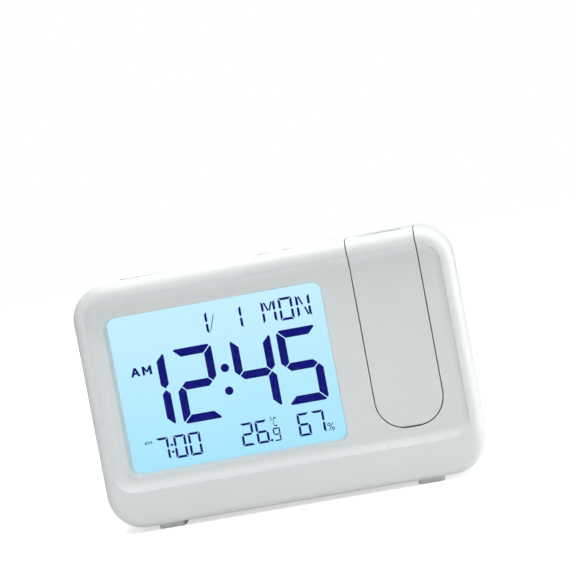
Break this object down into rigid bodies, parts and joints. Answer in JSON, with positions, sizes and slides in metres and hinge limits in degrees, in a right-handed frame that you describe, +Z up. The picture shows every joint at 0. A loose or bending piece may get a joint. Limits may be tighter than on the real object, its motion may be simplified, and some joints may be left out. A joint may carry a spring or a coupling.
{
  "type": "projection alarm clock",
  "caption": "White bedside alarm clock with a dished face, wide lit display and a round-ended projector module that flips out.",
  "frame": {"origin": "middle of the footprint, on the surface the clock stands on", "axes": "+X to the right seen from the front, front face towards -Y, +Z up"},
  "size_m": [0.16, 0.042, 0.1053],
  "materials": {
    "housing": "fine satin moulded white",
    "keys": "satin white",
    "window": "clear polished",
    "lcd": "lit cyan",
    "guide": "frosted",
    "tray": "white",
    "board": "solder mask",
    "chip": "black epoxy",
    "steel": "plated",
    "aluminium": "extruded",
    "feet": "soft matt grey",
    "black_plastic": "satin black",
    "battery_wrap": "shrink sleeve",
    "lens": "polished",
    "red_lens": "clear red",
    "friction_rubber": "matt",
    "lead_wrap": "matt"
  },
  "bodies": {
    "case": {"front_case": "housing", "rear_case": "housing", "projector_cradle": "housing", "front_feet": "feet", "rear_feet": "feet", "display_window": "window", "lcd_cell": "lcd", "light_guide": "guide", "backlight_strip": "guide", "display_frame": "tray", "lcd_connector": "friction_rubber", "main_board": "board", "rear_key_board": "board", "top_key_board": "board", "power_board": "board", "clock_chip": "chip", "quartz_crystal": "steel", "lead_connector": "tray", "board_screws": "steel", "rear_board_screws": "steel", "top_board_screws": "steel", "case_screws": "steel", "cradle_screws": "steel", "rear_switches": "chip", "top_switches": "chip", "slide_switch_base": "steel", "temperature_sensor": "tray", "power_inlet": "steel", "sounder": "black_plastic", "batteries": "battery_wrap", "battery_contacts": "steel", "case_lead": "lead_wrap"},
    "projector": {"projector_front": "housing", "projector_back": "housing", "projector_screws": "steel", "hinge_pins": "steel", "friction_washers": "friction_rubber", "lens_barrel": "black_plastic", "projector_lcd": "lcd", "spacer_ring": "black_plastic", "condenser_lens": "lens", "red_led": "red_lens", "led_board": "board", "heat_sink": "aluminium", "projector_lead": "lead_wrap"},
    "focus_ring": {"focus_ring": "black_plastic"},
    "lens_cell": {"lens_cell": "black_plastic", "projection_lens": "lens"},
    "snooze_bar": {"snooze_bar": "keys"},
    "top_key_left": {"top_key_left": "keys"},
    "top_key_right": {"top_key_right": "keys"},
    "set_key": {"set_key": "keys"},
    "plus_key": {"plus_key": "keys"},
    "minus_key": {"minus_key": "keys"},
    "alarm_key": {"alarm_key": "keys"},
    "projection_switch_knob": {"projection_switch_knob": "keys"},
    "battery_door": {"battery_door": "housing"}
  },
  "joints": [
    {"name": "projector_flip", "type": "hinge", "parent": "case", "child": "projector", "pos_m": [0.05155, -0.012, 0.0408], "axis": [1, 0, 0], "range_deg": [0, 90]},
    {"name": "focus_turn", "type": "hinge", "parent": "projector", "child": "focus_ring", "pos_m": [0.05155, -0.0058, 0.1], "axis": [0, 0, 1], "range_deg": [-60, 60]},
    {"name": "lens_travel", "type": "slide", "parent": "projector", "child": "lens_cell", "axis": [0, 0, 1], "range_m": [-0.001, 0.001]},
    {"name": "snooze_bar_press", "type": "slide", "parent": "case", "child": "snooze_bar", "axis": [0, 0, -1], "range_m": [0, 0.0005], "stiffness_N_per_m": 800, "springref_m": -0.0005},
    {"name": "top_key_left_press", "type": "slide", "parent": "case", "child": "top_key_left", "axis": [0, 0, -1], "range_m": [0, 0.0005], "stiffness_N_per_m": 800, "springref_m": -0.0005},
    {"name": "top_key_right_press", "type": "slide", "parent": "case", "child": "top_key_right", "axis": [0, 0, -1], "range_m": [0, 0.0005], "stiffness_N_per_m": 800, "springref_m": -0.0005},
    {"name": "set_key_press", "type": "slide", "parent": "case", "child": "set_key", "axis": [0, -1, 0], "range_m": [0, 0.0005], "stiffness_N_per_m": 800, "springref_m": -0.0005},
    {"name": "plus_key_press", "type": "slide", "parent": "case", "child": "plus_key", "axis": [0, -1, 0], "range_m": [0, 0.0005], "stiffness_N_per_m": 800, "springref_m": -0.0005},
    {"name": "minus_key_press", "type": "slide", "parent": "case", "child": "minus_key", "axis": [0, -1, 0], "range_m": [0, 0.0005], "stiffness_N_per_m": 800, "springref_m": -0.0005},
    {"name": "alarm_key_press", "type": "slide", "parent": "case", "child": "alarm_key", "axis": [0, -1, 0], "range_m": [0, 0.0005], "stiffness_N_per_m": 800, "springref_m": -0.0005},
    {"name": "projection_switch", "type": "slide", "parent": "case", "child": "projection_switch_knob", "axis": [1, 0, 0], "range_m": [0, 0.004]},
    {"name": "battery_door_open", "type": "hinge", "parent": "case", "child": "battery_door", "pos_m": [-0.024, 0.021, 0.0196], "axis": [-1, 0, 0], "range_deg": [0, 85]}
  ],
  "couplings": [
    {"joint": "focus_turn", "follows": "lens_travel", "rad_per_m": 1000}
  ]
}
